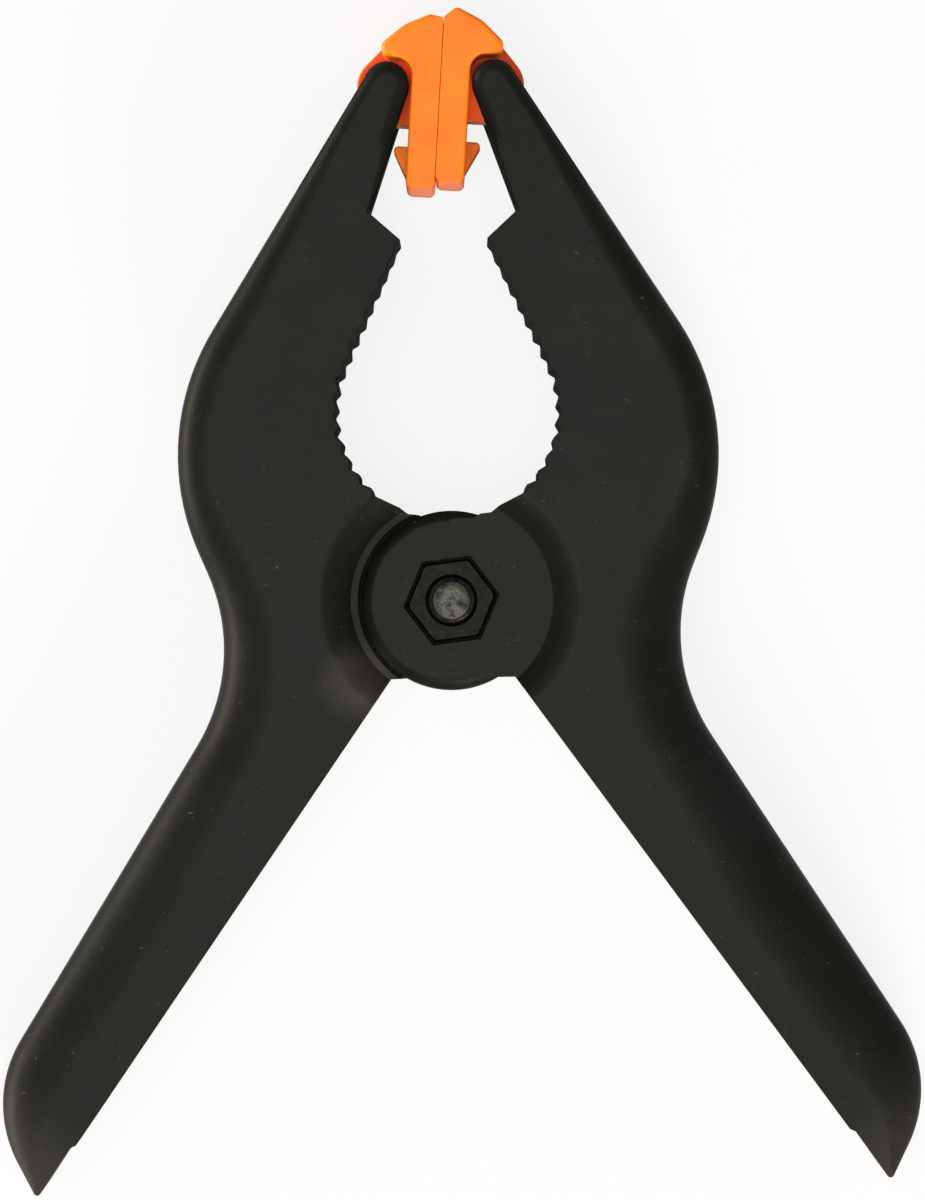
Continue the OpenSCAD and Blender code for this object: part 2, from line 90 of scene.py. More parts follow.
DISC_UNDER = DISC_TOP - DISC_T
EAR_UNDER = DISC_SINK + DISC_T + EAR_GAP
EAR_TOP = EAR_UNDER + EAR_T
CHAMBER_R = DISC_R + 2 * DISC_GAP
HANDLE_DIR = math.radians(HANDLE_LEAN - 90)


def contact(circle, phi):
    """The point where a side of direction phi touches a corner circle, with its edge rounding."""
    x, y, r, edge = circle
    return x - r * math.sin(phi), y + r * math.cos(phi), edge


def tangent(a, b):
    """The direction of the straight side from one corner circle to the next."""
    dx, dy = b[0] - a[0], b[1] - a[1]
    return math.atan2(dy, dx) - math.asin((a[2] - b[2]) / math.hypot(dx, dy))


def belt(rows, step=3.0):
    """Points of a clockwise outline round corner circles. A row holds x, y, radius and edge rounding."""
    points = []
    for i, row in enumerate(rows):
        start = tangent(rows[i - 1], row)
        turn = tangent(row, rows[(i + 1) % len(rows)]) - start
        turn = (turn + math.pi) % (2 * math.pi) - math.pi
        steps = 0 if row[2] == 0 else max(1, math.ceil(abs(math.degrees(turn)) / step))
        for k in range(steps + 1):
            points.append(contact(row, start + (turn * k / steps if steps else 0)))
    return points


def on_handle(along, out):
    """A place given along the handle from the pivot, and out from its middle line toward its back."""
    c, s = math.cos(HANDLE_DIR), math.sin(HANDLE_DIR)
    return along * c - out * s, along * s + out * c


def throat_at(s, sunk):
    """A place on the throat's side, s above the join of its arc and its flank, sunk into the jaw."""
    up, lean = max(0.0, s), math.radians(FLANK_LEAN)
    a, r = lean + min(0.0, s) / THROAT_R, THROAT_R + sunk
    return r * math.cos(a) - up * math.sin(lean), THROAT_Y + r * math.sin(a) + up * math.cos(lean)


def piece_from(name, mesh_maker):
    """A mesh object in metres from a function that fills a bmesh in millimetres."""
    bm = bmesh.new()
    mesh_maker(bm)
    bmesh.ops.recalc_face_normals(bm, faces=bm.faces)
    bmesh.ops.scale(bm, vec=(MM,) * 3, verts=bm.verts)
    mesh = bpy.data.meshes.new(name)
    bm.to_mesh(mesh)
    bm.free()
    piece = bpy.data.objects.new(name, mesh)
    bpy.context.scene.collection.objects.link(piece)
    return piece


def eased(points, parts=14, least_change=0.4):
    """Splits each straight side along which the edge rounding changes, so that it changes smoothly."""
    done = []
    for here, after in zip(points, points[1:] + points[:1]):
        done.append(here)
        if abs(after[2] - here[2]) > least_change:
            for k in range(1, parts):
                t = k / parts
                blend = t * t * (3 - 2 * t)
                done.append(tuple(a + (b - a) * u for a, b, u in zip(here, after, (t, t, blend))))
    return done


def evened(points, reach=11.0, least=1.0):
    """Spreads each change of a wide edge rounding along the outline, so that no step shows between arcs."""
    wide = [(x, y, e) for x, y, e in points if e > least]
    done = []
    for x, y, e in points:
        near = [(p[2], reach - math.dist(p[:2], (x, y))) for p in wide] if e > least else []
        near = [(value, weight) for value, weight in near if weight > 0]
        done.append((x, y, sum(v * w for v, w in near) / sum(w for _, w in near) if near else e))
    return done


def out_of(points, i):
    """Unit direction that points out of a clockwise outline at point i."""
    here, before, after = (Vector(points[j][:2]) for j in (i, i - 1, (i + 1) % len(points)))
    w = (here - before).normalized() + (after - here).normalized()
    return Vector((-w.y, w.x)).normalized()


def close_up(bm, rings):
    """Joins each ring of corners to the next with faces, and closes both ends."""
    n = len(rings[0])
    for a, b in zip(rings, rings[1:]):
        for i in range(n):
            bm.faces.new((a[i], a[(i + 1) % n], b[(i + 1) % n], b[i]))
    bm.faces.new(rings[0])
    bm.faces.new(rings[-1])


def slab(points, low, high, steps=8, spread=None, limit=None):
    """A plate between two levels, with both side edges rounded by each point's own radius.

    Spread gives from that radius how far the rounding reaches across the face, and limit gives from the
    point's place the most that it may reach there."""
    def fill(bm):
        outs = [out_of(points, i) for i in range(len(points))]
        wide = [spread(e) if spread else e for _, _, e in points]
        used = [min(w, limit(x, y)) if limit else w for w, (x, y, _) in zip(wide, points)]
        rings = []
        for k in range(2 * (steps + 1)):
            top = k > steps
            t = math.pi / 2 * (k - steps - 1 if top else steps - k) / steps
            ring = []
            for (x, y, e), out, w, u in zip(points, outs, wide, used):
                p = Vector((x, y)) - out * u * (1 - math.cos(t))
                rise = e * u / w * (1 - math.sin(t))
                ring.append(bm.verts.new((p.x, p.y, high - rise if top else low + rise)))
            rings.append(ring)
        close_up(bm, rings)
    return fill


def turned(profile, steps=144):
    """A solid turned about the pivot axis from a profile of radius and level, closed at both ends."""
    def fill(bm):
        angles = [2 * math.pi * i / steps for i in range(steps)]
        close_up(bm, [[bm.verts.new((r * math.cos(a), r * math.sin(a), z)) for a in angles]
                      for r, z in profile])
    return fill


def prism(corners, levels):
    """A straight-sided solid from flat corners. A level holds its height and the scale of the corners."""
    def fill(bm):
        close_up(bm, [[bm.verts.new((x * s, y * s, z)) for x, y in corners] for z, s in levels])
    return fill


def carve(piece, tools, operation="DIFFERENCE"):
    """Cuts tools out of a piece, or joins them to it, and deletes them."""
    for tool in tools:
        cut = piece.modifiers.new("cut", "BOOLEAN")
        cut.operation, cut.object, cut.solver = operation, tool, "EXACT"
    bpy.context.view_layer.update()
    mesh = bpy.data.meshes.new_from_object(piece.evaluated_get(bpy.context.evaluated_depsgraph_get()))
    piece.modifiers.clear()
    piece.data = mesh
    for tool in tools:
        bpy.data.objects.remove(tool)


def smooth(piece, angle=38.0):
    """Shades a piece smoothly but for its edges sharper than the angle, led by its large faces."""
    piece.data.shade_smooth()
    piece.data.set_sharp_from_angle(angle=math.radians(angle))
    weighted = piece.modifiers.new("even shading", "WEIGHTED_NORMAL")
    weighted.keep_sharp, weighted.weight = True, 90


def coat(piece, material):
    piece.data.materials.clear()
    piece.data.materials.append(material)


# The waist's circle rounds into the bulge and leaves a short flat before the handle's straight back.
bulge_along = BULGE_X * math.cos(HANDLE_DIR) + BULGE_Y * math.sin(HANDLE_DIR)
bulge_out = BULGE_Y * math.cos(HANDLE_DIR) - BULGE_X * math.sin(HANDLE_DIR)
waist_out = HANDLE_BACK + WAIST_R
waist_gap = (BULGE_R + WAIST_R) ** 2 + WAIST_FLAT ** 2 - (waist_out - bulge_out) ** 2
waist_along = bulge_along + math.sqrt(waist_gap)
flank_rise = TOOTH_END_Y - THROAT_Y - THROAT_R * math.sin(math.radians(FLANK_LEAN))
flank_len = flank_rise / math.cos(math.radians(FLANK_LEAN))
arc_len = THROAT_R * math.radians(FLANK_LEAN + TEETH_LOW)
tooth_count = math.floor((flank_len + arc_len) / TOOTH_PITCH)

# Below the teeth the throat's floor has broad shallow waves. Each tooth has a steep short side and a long
# one, a narrow flat at its tip, and is not quite like the next, and the topmost ones are shallower.
teeth = []
for k in range(FLOOR_POINTS):
    angle = math.radians(FLOOR_START + FLOOR_STEP * k)
    deep = THROAT_R + FLOOR_WAVE * math.sin(math.pi * k / POINTS_TO_A_WAVE) ** 2
    teeth.append((deep * math.cos(angle), THROAT_Y + deep * math.sin(angle), 0, CRISP))
for i in reversed(range(tooth_count)):
    uneven = 0.5 + 0.5 * math.sin(UNEVEN_STEP * i + UNEVEN_START)
    deep = TOOTH_DEPTH * (LEAST_DEPTH_SHARE + UNEVEN_SHARE * uneven)
    deep *= min(1.0, TOP_TOOTH_SHARE + SHARE_MORE_EACH * i)
    for along_share, deep_share in TOOTH_STEP_SHARES:
        x, y = throat_at(flank_len - (i + along_share) * TOOTH_PITCH, deep_share * deep)
        teeth.append((x, y, 0, CRISP))


def at_nick(shares):
    along, out = shares
    return on_handle(HANDLE_LEN - along * HEEL_BACK, out * HANDLE_BACK)


lever_rows = [
    (*EAR_FOOT, 0, CRISP),
    (BAR.x, BAR.y, EAR_END_R, EAR_END_EDGE),
    (BULGE_X, BULGE_Y, BULGE_R, JAW_EDGE),
    (*on_handle(waist_along, waist_out), -WAIST_R, (JAW_EDGE + HANDLE_EDGE) / 2),
    (*on_handle(HANDLE_LEN - HEEL_BACK, HANDLE_BACK - HEEL_R), HEEL_R, HANDLE_EDGE),
    (*on_handle(HANDLE_LEN + TIP_OUT, TIP_BACK_SHARE * HANDLE_BACK), TIP_R_SHARE * TIP_R, TIP_R / 2),
    (*at_nick(NICK_LOW_SHARES), 0, CRISP),
    (*at_nick(NICK_HIGH_SHARES), 0, CRISP),
    (*on_handle(HUB_CORNER_SHARES[0] * DISC_R, HUB_CORNER_SHARES[1] * HANDLE_BACK), 0, CRISP),
    (0, -DISC_LOW_SHARE * DISC_R, 0, CRISP),
    (0, DISC_HIGH_SHARE * DISC_R, 0, CRISP),
    *teeth]

# The handle's inner side, as places along and out. A rounding may take a little room and a share of the way
# to that side, and across the face it spreads by a factor that grows with its own width.
INNER_SIDE = ((HANDLE_LEN + TIP_R, 0.33 * HANDLE_BACK), (HANDLE_LEN - 7.0, 5.5), (12.6, 1.4))
ROOM_LEAST, ROOM_SHARE = 0.1, 0.7
SPREAD_LEAST, SPREAD_GROWTH = 0.75, 0.15


def room_at_end(x, y):
    """How far the rounding may reach in from the handle's back: a share of the way to its inner side."""
    p = Vector((x, y))
    inner = [Vector(on_handle(*place)) for place in INNER_SIDE]
    reach = []
    for a, b in zip(inner, inner[1:]):
        t = min(1.0, max(0.0, (p - a).dot(b - a) / (b - a).length_squared))
        reach.append((p - a.lerp(b, t)).length)
    return ROOM_LEAST + ROOM_SHARE * min(reach)


def across_face(e):
    """How far a rounding of the edge by e reaches across the side face: wide roundings reach further."""
    return e * (SPREAD_LEAST + SPREAD_GROWTH * e)


def recess_wall(foot, shelf, face, steps=14):
    """The wall round the hub as radius and level: steep at its foot, and easing out into the side face."""
    up = 1 if face > shelf else -1
    slope = [(foot + WALL_OUT * k / steps, shelf + (face - shelf) * math.sin(math.pi / 2 * k / steps))
             for k in range(steps + 1)]
    past = foot + WALL_OUT + WALL_LIP_OUT
    return [*slope, (past, face + up * WALL_LIP_UP), (past, face + up * OVER)]


def hexagon(af):
    """The corners of a hexagon that is af across its flats, turned as the pockets are."""
    r = af / math.sqrt(3)
    angles = [math.radians(HEX_TURN + 60 * k) for k in range(6)]
    return [(r * math.cos(a), r * math.sin(a)) for a in angles]


def box_corners(x0, y0, x1, y1):
    return (x0, y0), (x1, y0), (x1, y1), (x0, y1)


def handle_box(x0, y0, x1, y1, low, high):
    """A straight cut whose sides run along and square to the handle."""
    return prism([on_handle(*p) for p in box_corners(x0, y0, x1, y1)], ((low, 1), (high, 1)))


def ear_box(x0, y0, x1, y1):
    """A straight cut through the middle of the ear, along and square to it, placed from the pad's bar."""
    turn = Matrix.Rotation(math.radians(EAR_LEAN), 2)
    corners = [tuple(BAR + turn @ Vector(p)) for p in box_corners(x0, y0, x1, y1)]
    return prism(corners, (((DEPTH - SLOT_W) / 2, 1), ((DEPTH + SLOT_W) / 2, 1)))


def make_lever(name):
    """The moulding as the right lever lies: its outer disc on top."""
    outline = evened(eased(belt(lever_rows)))
    body = piece_from(name, slab(outline, 0, DEPTH, steps=12, spread=across_face, limit=room_at_end))
    # The disc, and the ear with a little to spare, which its recess and the coil's chamber trim off
    disc_rows = [(DISC_R, DISC_UNDER), *((DISC_R - inward, DISC_TOP - down) for inward, down in DISC_EDGE)]
    ear_rows = [(DISC_R, EAR_UNDER - EAR_SPARE), (DISC_R, EAR_TOP + EAR_SPARE)]
    carve(body, [piece_from("disc", turned(disc_rows)), piece_from("ear", turned(ear_rows))], "UNION")
    # The recess over the disc, and the one under the ear, in which the other lever's disc turns
    front = [(SHELF_R / 2, DISC_TOP), *recess_wall(SHELF_R, DISC_TOP, DEPTH)]
    shelf, room_r = DISC_SINK + DISC_CHAMFER, DISC_R + DISC_GAP
    back = [(DISC_R / 2, EAR_UNDER), (room_r, EAR_UNDER), (room_r, shelf + SHELF_BEVEL),
            (room_r + SHELF_BEVEL, shelf), *recess_wall(SHELF_R, shelf, 0)]
    hollow_back, hollow_edge = HANDLE_BACK - BACK_WALL, HANDLE_EDGE - SIDE_WALL
    start, end = RECESS_R + SIDE_WALL, HANDLE_LEN - HEEL_BACK
    leg_slot_back = hollow_back - hollow_edge / 2
    hollow_rows = [
        (*on_handle(start + hollow_edge, hollow_back - hollow_edge), hollow_edge, hollow_edge / 2),
        (*on_handle(end, hollow_back - hollow_edge), hollow_edge, hollow_edge * 3 / 4),
        (*on_handle(end + hollow_edge, -hollow_edge), 0, HOLLOW_MOUTH_EDGE),
        (*on_handle(start, -hollow_edge), 0, HOLLOW_MOUTH_EDGE)]
    pocket_levels = ((DISC_TOP - POCKET_DEPTH, 1), (DISC_TOP - POCKET_BEVEL, 1),
                     (DISC_TOP - POCKET_LIP, POCKET_FLARE), (DISC_TOP + OVER, POCKET_FLARE))
    # In turn: the two recesses, the coil's chamber, the handle's hollow, the slot for the spring's leg, the
    # ear's slot for the pad's web, the deeper room for its tail, the bore, and the hexagonal pocket
    for tool in (
            turned(front),
            turned(back),
            turned([(CHAMBER_R, EAR_TOP), (CHAMBER_R, DISC_UNDER)]),
            slab(belt(hollow_rows, step=6.0), SIDE_WALL, DEPTH - SIDE_WALL, steps=5),
            handle_box(LEG_SLOT_START, -leg_slot_back, start + 2 * hollow_edge, leg_slot_back,
                       EAR_TOP + EAR_GAP, DEPTH - EAR_TOP),
            ear_box(-SLOT_REACH, SLOT_FLOOR, SLOT_REACH, SLOT_END),
            ear_box(-SLOT_REACH, TAIL_ROOM_FLOOR, TAIL_ROOM_SIDE, TAIL_ROOM_TOP),
            turned([(BORE_R, -OVER), (BORE_R, DEPTH + OVER)]),
            prism(hexagon(HEX_AF + 2 * HEX_GAP), pocket_levels)):
        carve(body, [piece_from("cutter", tool)])
    bar = piece_from("bar", lambda bm: bmesh.ops.create_cone(
        bm, cap_ends=True, segments=48, radius1=BAR_R, radius2=BAR_R, depth=SLOT_W + 2 * OVER,
        matrix=Matrix.Translation((BAR.x, BAR.y, DEPTH / 2))))
    carve(body, [bar], "UNION")
    smooth(body)
    return body


def turn_over(piece):
    """Turns a finished mesh over about the clamp's long axis, as the left lever's moulding lies."""
    piece.data.transform(Matrix.Translation((0, 0, DEPTH * MM)) @ Matrix.Rotation(math.pi, 4, "Y"))


right_lever = make_lever("black_lever_right")
left_lever = bpy.data.objects.new("black_lever_left", right_lever.data.copy())
bpy.context.scene.collection.objects.link(left_lever)
turn_over(left_lever)
smooth(left_lever)
for lever, node, body in ((right_lever, "lever_right", "right"), (left_lever, "lever_left", "left")):
    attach(lever, body)
    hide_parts(node)


class Wire:
    """One socket of a material's nodes. An expression on wires adds the Math nodes that work it out."""

    def __init__(self, make, socket):
        self.make, self.socket = make, socket

    def _math(self, operation, a, b):
        return self.make("Math", {"operation": operation}, {0: a, 1: b})

    def __add__(self, other):
        return self._math("ADD", self, other)

    def __sub__(self, other):
        return self._math("SUBTRACT", self, other)

    def __rsub__(self, other):
        return self._math("SUBTRACT", other, self)

    def __mul__(self, other):
        return self._math("MULTIPLY", self, other)

    def __lt__(self, other):
        return self._math("LESS_THAN", self, other)

    def __gt__(self, other):
        return self._math("GREATER_THAN", self, other)

    def __pow__(self, other):
        return self._math("POWER", self, other)

    __radd__, __rmul__ = __add__, __mul__

    def between(self, low, high):
        """0 below low, 1 above high, and a smooth step from one to the other."""
        return self.make("MapRange", {"interpolation_type": "SMOOTHSTEP"}, {"Value": self, 1: low, 2: high})


class Nodes:
    """The nodes of a material or of the sky, and the one method that adds a node."""

    def __init__(self, tree):
        self.tree = tree

    def node(self, kind, settings=None, sockets=None, out=0):
        made = self.tree.nodes.new("ShaderNode" + kind)
        for key, value in (settings or {}).items():
            setattr(made, key, value)
        for key, value in (sockets or {}).items():
            if isinstance(value, Wire):
                self.tree.links.new(value.socket, made.inputs[key])
            else:
                made.inputs[key].default_value = value
        return Wire(self.node, made.outputs[out])

    def show(self, output, shader):
        """Sends a shader to the tree's output."""
        self.tree.links.new(shader.socket, self.tree.nodes[output].inputs["Surface"])

    def seen_straight(self):
        """1 where the camera sees the surface, straight or in a shine, and 0 where plain light meets it."""
        camera, glossy, through = (self.node("LightPath", out=f"Is {ray} Ray")
                                   for ray in ("Camera", "Glossy", "Transmission"))
        return camera + glossy + through


class Finish(Nodes):
    """A material of one piece, with its grain, its wear and its bumps."""

    def __init__(self, name, **constants):
        self.material = bpy.data.materials.new(name)
        self.material.use_nodes = True
        super().__init__(self.material.node_tree)
        self.shader = self.tree.nodes["Principled BSDF"]
        for socket, value in constants.items():
            self.shader.inputs[socket.replace("_", " ")].default_value = value

    def split(self, vector):
        """The three parts of a vector."""
        return tuple(self.node("SeparateXYZ", {}, {0: vector}, out=i) for i in range(3))

    def place(self):
        return self.node("TexCoord", out="Object")

    def facing_up(self):
        """0 on the sides of the piece, up to 1 on faces that look straight up or down."""
        _, _, up = self.split(self.node("TexCoord", out="Normal"))
        return up * up

    def grain(self, per_mm, detail=3.0, rough=0.55, offset=(0, 0, 0), stretch=(1, 1, 1)):
        """Noise with a given number of grains to a millimetre."""
        scale = tuple(per_mm / MM * s for s in stretch)
        moved = self.node("Mapping", {}, {"Vector": self.place(), "Location": offset, "Scale": scale})
        noise = {"Vector": moved, "Scale": 1.0, "Detail": detail, "Roughness": rough}
        return self.node("TexNoise", {}, noise)

    def mix(self, factor, a, b):
        return self.node("Mix", {"data_type": "RGBA"}, {0: factor, 6: a, 7: b}, out=2)

    def bump(self, height, depth_mm, normal=None):
        sockets = {"Height": height, "Distance": depth_mm * MM, "Strength": 1.0}
        if normal:
            sockets["Normal"] = normal
        return self.node("Bump", {}, sockets)

    def wear(self, **inputs):
        for socket, wire in inputs.items():
            self.tree.links.new(wire.socket, self.shader.inputs[socket.replace("_", " ")])
        return self.material


def tint(r, g, b):
    return (r, g, b, 1)


# The nylon is nearly black with a faint green-grey cast, a fine spark-eroded grain from the mould, slow
# cloudy changes of tone, and small pale scuffs. The handles' ends are painted a paler brown, a painted
# highlight for the light on them, and one spot low on the left of the hub is painted warm brown, a painted
# reflection on the recess wall. The throat's walls are rougher than the side faces.
OLIVE_BLACK, GREEN_BLACK = tint(0.0044, 0.0047, 0.0032), tint(0.0053, 0.0068, 0.0056)
GREY_BLACK, SCUFF_GREY = tint(0.0085, 0.0085, 0.0065), tint(0.09, 0.092, 0.085)
# Pale brown for a painted highlight on the handles' ends, warm brown for a painted reflection low on the
# hub's left
END_HIGHLIGHT_BROWN, REFLECTION_BROWN = tint(0.050, 0.044, 0.038), tint(0.044, 0.039, 0.033)
# How far from the pivot the painted highlight on the handles' ends starts and is full
END_HIGHLIGHT_FROM, END_HIGHLIGHT_TO = 80 * MM, 96 * MM
# Where the painted reflection lies on the hub's recess wall, and its size
REFLECTION_X, REFLECTION_Y, REFLECTION_CORE, REFLECTION_R = -12.0 * MM, -10.0 * MM, 2.0 * MM, 6.2 * MM
THROAT_HALF_W, THROAT_LOW = 18.5 * MM, 9.0 * MM
nylon = Finish("black_nylon", Specular_IOR_Level=0.062)
clouds = nylon.grain(0.05, detail=4.0, rough=0.6)
patches = nylon.grain(0.22, detail=3.0, offset=(3, 1, 7))
speck = nylon.grain(3.2, detail=1.5, offset=(9, 2, 4))
scratch = nylon.grain(1.5, detail=2.0, offset=(5, 5, 5), stretch=(0.8, 1.2, 1.0))
scuff = scratch.between(0.68, 0.76) * patches.between(0.48, 0.62)
across, along, _ = nylon.split(nylon.place())
# Painted highlight: the handles' ends are painted paler brown where light falls on them.
painted_end_highlight = ((across * across + along * along) ** 0.5).between(END_HIGHLIGHT_FROM, END_HIGHLIGHT_TO) * (along < 0)
# Painted reflection: a warm pale brown patch on the recess wall low on the left of the hub.
to_reflection = ((across - REFLECTION_X) ** 2 + (along - REFLECTION_Y) ** 2) ** 0.5
painted_reflection = 1 - to_reflection.between(REFLECTION_CORE, REFLECTION_R)
in_throat = (across * across < THROAT_HALF_W ** 2) * (THROAT_LOW < along)
wall = (1 - nylon.facing_up().between(0.05, 0.35)) * in_throat
tone = nylon.mix(clouds.between(0.35, 0.68), OLIVE_BLACK, GREEN_BLACK)
tone = nylon.mix(patches.between(0.45, 0.75) * 0.5, tone, GREY_BLACK)
tone = nylon.mix(scuff * 0.55, tone, SCUFF_GREY)
tone = nylon.mix(painted_end_highlight * (0.35 + 0.4 * patches), tone, END_HIGHLIGHT_BROWN)
tone = nylon.mix(painted_reflection * (0.30 + 0.6 * patches), tone, REFLECTION_BROWN)
black_nylon = nylon.wear(
    Base_Color=tone, Roughness=0.35 + 0.12 * clouds + 0.08 * speck - 0.05 * scuff + 0.55 * wall,
    Normal=nylon.bump(patches, 0.06, nylon.bump(speck, 0.020)))
for lever in (right_lever, left_lever):
    coat(lever, black_nylon)

# The swivel pads are soft orange plastic, moulded as a flat plate with a hood over the ear. A web under the
# hood hangs on the ear's bar and carries a tail, so each pad turns on its own bar and has its own body.
PAD_W, PLATE_T, PAD_TOP, PAD_BOTTOM, PAD_TILT, FACE_GAP = 28.0, 3.7, 9.1, 13.2, 4.4, 0.03
FACE_X = BAR.x * math.cos(math.radians(PAD_TILT)) - FACE_GAP
PLATE_BACK = PLATE_T - FACE_X
# How far the plate's top slopes down to its face, which differs a little from one pad to the other
LEFT_FACE_LOW, RIGHT_FACE_LOW = 0.25, 1.1
CORNER_R, FACE_CORNER_R, TOP_SHARE = 0.8, 0.25, 0.45
FACE_ROUND, BACK_ROUND, WEB_ROUND, TAIL_ROUND = 0.05, 0.4, 0.3, 0.25
HOOD_UNDER, HOOD_T, HOOD_ROUND, HOOD_END_SHARE, HOOD_COVE_R = 3.4, 2.4, 0.9, -0.04, 2.0
CROWN_X, CROWN_UP, CROWN_R, CROWN_ROUND = -4.7, 0.06, 5.0, 0.6
WEB_T, WEB_CORNER_R, WEB_LOW_SHARE, EYE_R, EYE_GAP = 8.0, 1.0, 0.37, 3.9, 0.05
TAIL_TOP_SHARE, TAIL_OUT, TAIL_CORNER_R = 0.57, 1.8, 0.6
MOUTH_TURN, MOUTH_HALF_W = -60.0, 1.2


def pad_rows(face_low):
    """The plate and hood, with the plate's top sloping down to its face by face_low."""
    return [
        (CORNER_R - FACE_X, -PAD_BOTTOM + CORNER_R, CORNER_R, FACE_ROUND),
        (FACE_CORNER_R - FACE_X, PAD_TOP - FACE_CORNER_R - face_low, FACE_CORNER_R, FACE_ROUND),
        (PLATE_T * TOP_SHARE - FACE_X, PAD_TOP - CORNER_R, CORNER_R, BACK_ROUND),
        (CROWN_X, HOOD_UNDER + CROWN_UP, CROWN_R, CROWN_ROUND),
        (HOOD_END_SHARE * FACE_X, HOOD_UNDER + HOOD_T / 2, HOOD_T / 2, HOOD_ROUND),
        (PLATE_BACK + HOOD_COVE_R, HOOD_UNDER - HOOD_COVE_R, -HOOD_COVE_R, BACK_ROUND),
        (PLATE_BACK - CORNER_R, -PAD_BOTTOM + CORNER_R, CORNER_R, BACK_ROUND)]


in_plate = PLATE_T / 2 - FACE_X
web_low = WEB_CORNER_R - WEB_LOW_SHARE * PAD_BOTTOM
web_rows = [
    (in_plate, HOOD_UNDER, WEB_CORNER_R, WEB_ROUND),
    (0, HOOD_UNDER + WEB_CORNER_R, WEB_CORNER_R, WEB_ROUND),
    (0, 0, EYE_R, WEB_ROUND),
    (-WEB_CORNER_R, web_low, WEB_CORNER_R, WEB_ROUND),
    (in_plate, web_low, WEB_CORNER_R, WEB_ROUND)]
tail_top = -TAIL_TOP_SHARE * PAD_BOTTOM
tail_low = -PAD_BOTTOM + 2 * CORNER_R
tail_rows = [
    (in_plate, tail_top, 0, TAIL_ROUND),
    (PLATE_BACK + TAIL_OUT - TAIL_CORNER_R, tail_top - TAIL_CORNER_R, TAIL_CORNER_R, TAIL_ROUND),
    (PLATE_BACK - CORNER_R, tail_low, CORNER_R, TAIL_ROUND),
    (in_plate, tail_low, 0, TAIL_ROUND)]


def make_pad(name, face_low):
    """The pad in its own place, with the bar at the origin and the face at minus X."""
    def side(rows, width):
        outline = eased(belt(rows, step=6.0), parts=8)
        return slab(outline, (DEPTH - width) / 2, (DEPTH + width) / 2, steps=5)
    pad = piece_from(name, side(pad_rows(face_low), PAD_W))
    for rows in (web_rows, tail_rows):
        carve(pad, [piece_from("part", side(rows, WEB_T))], "UNION")
    turn = Matrix.Rotation(math.radians(MOUTH_TURN), 2)
    mouth = [tuple(turn @ Vector(p)) for p in box_corners(0, -MOUTH_HALF_W, EYE_R + OVER, MOUTH_HALF_W)]
    eye_r = BAR_R + EYE_GAP
    for tool in (turned([(eye_r, -OVER), (eye_r, DEPTH + OVER)], steps=48),
                 prism(mouth, ((-OVER, 1), (DEPTH + OVER, 1)))):
        carve(pad, [piece_from("cutter", tool)])
    return pad


# The orange is mottled and faintly porous, with a little grime. The web's sides, deep between the ears, are
# painted deep red as painted shade.
DEEP_ORANGE, LIGHT_ORANGE = tint(0.93, 0.160, 0.003), tint(0.97, 0.225, 0.008)
# A red for a little grime, and a deep red for painted shade on the web's sides
GRIME_RED, SHADED_WEB_RED = tint(0.80, 0.12, 0.012), tint(0.95, 0.055, 0.004)
WEB_FROM_MIDDLE, WEB_FROM_PIVOT = 6.0 * MM, 60.0 * MM
orange = Finish("orange_plastic", Specular_IOR_Level=0.22, Subsurface_Weight=0.15, Subsurface_Scale=0.003,
                Subsurface_Radius=(1.0, 0.25, 0.1))
bloom = orange.grain(0.12, detail=3.0, offset=(2, 8, 1))
pores = orange.grain(2.4, detail=2.0, offset=(1, 1, 6))
grime = orange.grain(0.6, detail=4.0, offset=(7, 7, 2)).between(0.62, 0.78)
_, along, level = orange.split(orange.place())
inside = ((level - DEPTH / 2 * MM) ** 2 < WEB_FROM_MIDDLE ** 2) * (WEB_FROM_PIVOT < along)
# Painted shade: the web's sides deep between the ears are painted deep red.
painted_web_shade = orange.facing_up().between(0.3, 0.8) * inside
hue = orange.mix(bloom.between(0.3, 0.7), DEEP_ORANGE, LIGHT_ORANGE)
hue = orange.mix(grime * 0.25, hue, GRIME_RED)
hue = orange.mix(painted_web_shade * 0.7, hue, SHADED_WEB_RED)
orange_plastic = orange.wear(
    Base_Color=hue, Roughness=0.42 + 0.16 * bloom + 0.06 * pores,
    Normal=orange.bump(pores, 0.012, orange.bump(bloom, 0.08)))

for name, node, body, left in (("orange_pad_right", "pad_right", "right_pad", False),
                               ("orange_pad_left", "pad_left", "left_pad", True)):
    pad = make_pad(name, LEFT_FACE_LOW if left else RIGHT_FACE_LOW)
    if left:
        turn_over(pad)
    place = Vector((-BAR.x if left else BAR.x, BAR.y, 0)) * MM
    pad.data.transform(Matrix.Translation(place) @ Matrix.Rotation(math.radians(-PAD_TILT), 4, "Z"))
    smooth(pad)
    coat(pad, orange_plastic)
    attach(pad, body)
    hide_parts(node)

# The bolt is bright turned steel. Its head sits in the left lever's pocket at the back, and its domed end
# stands out of the nut in front. It turns with the left lever.
HEAD_T, NUT_T, BOLT_PROUD, BOLT_R = 4.0, 3.2, 0.9, 3.0
HEAD_UNDER, NUT_UNDER = DISC_SINK + POCKET_DEPTH, DISC_TOP - POCKET_DEPTH
BOLT_TOP = NUT_UNDER + NUT_T + BOLT_PROUD
# The bolt's end as radius and distance below its top: a cone, a short neck and a flat dome
BOLT_END = ((BOLT_R, 1.45), (2.55, 1.0), (2.5, 0.55), (2.36, 0.30), (2.05, 0.14), (1.5, 0.05), (0.8, 0.01),
            (0.25, 0.0))
# A hexagon's bevel: how deep and to what scale its rim is bevelled, and the cone that turns its corners off
RIM_DEPTH, RIM_SCALE, CONE_DEPTH, CONE_OUT, CONE_END_OUT = 0.3, 0.955, 0.5, 0.4, 0.38
STEEL_PALE, STEEL_DARK = tint(0.050, 0.051, 0.042), tint(0.014, 0.0145, 0.012)


